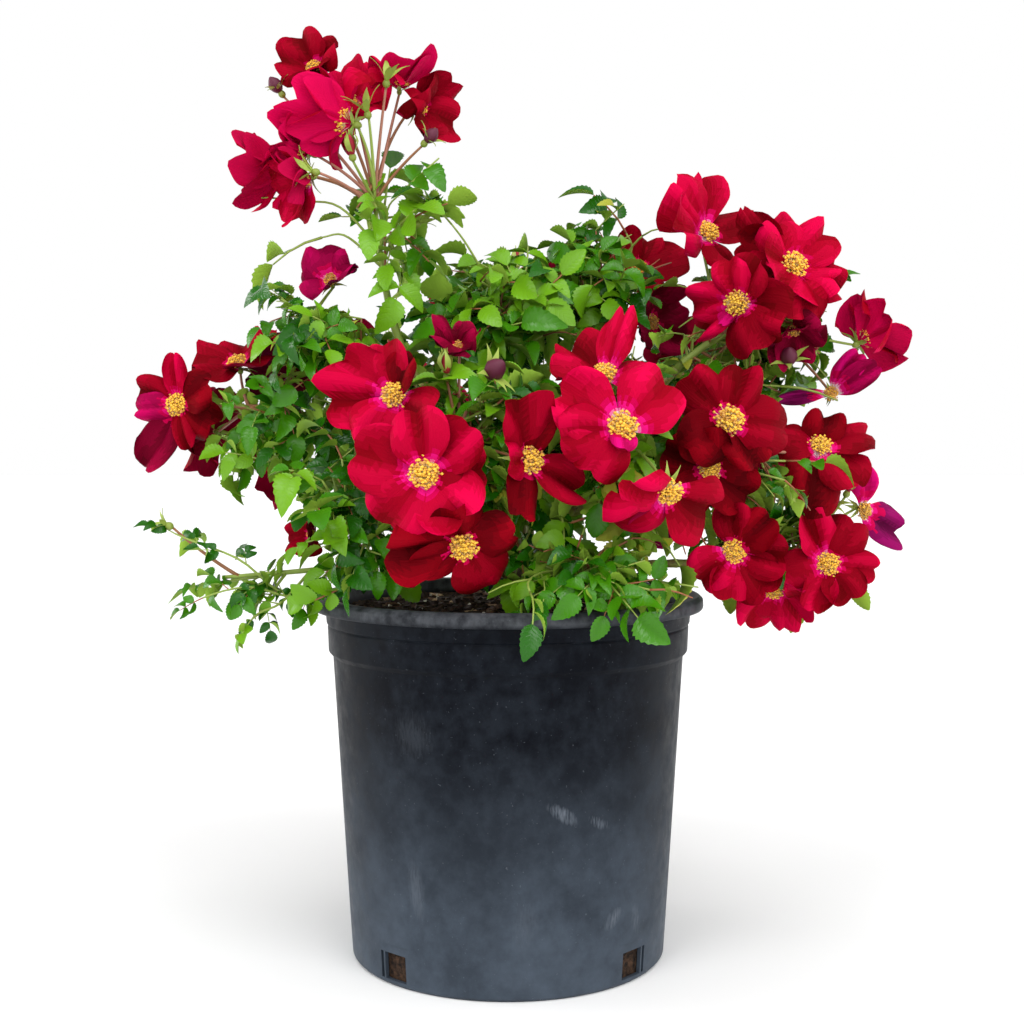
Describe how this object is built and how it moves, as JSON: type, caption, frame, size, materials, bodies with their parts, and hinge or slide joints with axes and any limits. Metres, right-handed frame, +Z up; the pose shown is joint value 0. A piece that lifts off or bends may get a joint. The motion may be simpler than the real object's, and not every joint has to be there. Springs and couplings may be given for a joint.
{
  "type": "potted shrub rose",
  "caption": "Shrub rose with single red blooms in a round black nursery pot: arching canes from a short woody base carry masses of small glossy leaves and open five-petalled flowers.",
  "frame": {"origin": "centre of the pot's flat underside, at the level of the surface it stands on", "axes": "+Z up; -Y towards the plant's best side; +X to the right of a viewer who faces that side"},
  "size_m": [0.4818, 0.3149, 0.57],
  "materials": {
    "pot_plastic": "moulded, scuffed and dusty",
    "potting_mix": "crumbly bark and peat",
    "cane_bark": "satin green-brown bark with prickles",
    "leaves": "glossy leaf",
    "twigs": "satin green and red-brown shoots",
    "petals": "velvety petal",
    "stamens": "powdery",
    "sepals": "satin green"
  },
  "bodies": {
    "root": {"pot": "pot_plastic", "soil": "potting_mix", "trunk": "cane_bark", "cane_tall": "cane_bark", "cane_right_upper": "cane_bark", "cane_centre": "cane_bark", "cane_heart": "cane_bark", "cane_left": "cane_bark", "cane_back_left": "cane_bark", "cane_back_right": "cane_bark", "cane_left_low": "cane_bark", "cane_front_left": "cane_bark", "cane_front_right": "cane_bark", "cane_right_lower": "cane_bark", "cane_left_shoulder": "cane_bark", "cane_trailing": "cane_bark", "cane_right_middle": "cane_bark", "cane_right_shoulder": "cane_bark", "cane_rim": "cane_bark", "cane_back_high": "cane_bark", "foliage_tall": "leaves", "foliage_left_shoulder": "leaves", "foliage_left": "leaves", "foliage_left_low": "leaves", "foliage_trailing": "leaves", "foliage_front_left": "leaves", "foliage_front_right": "leaves", "foliage_rim": "leaves", "foliage_right_middle": "leaves", "foliage_right_lower": "leaves", "foliage_right_upper": "leaves", "foliage_right_shoulder": "leaves", "foliage_centre": "leaves", "foliage_heart": "leaves", "foliage_back_left": "leaves", "foliage_back_right": "leaves", "foliage_back_high": "leaves"}
  },
  "joints": []
}
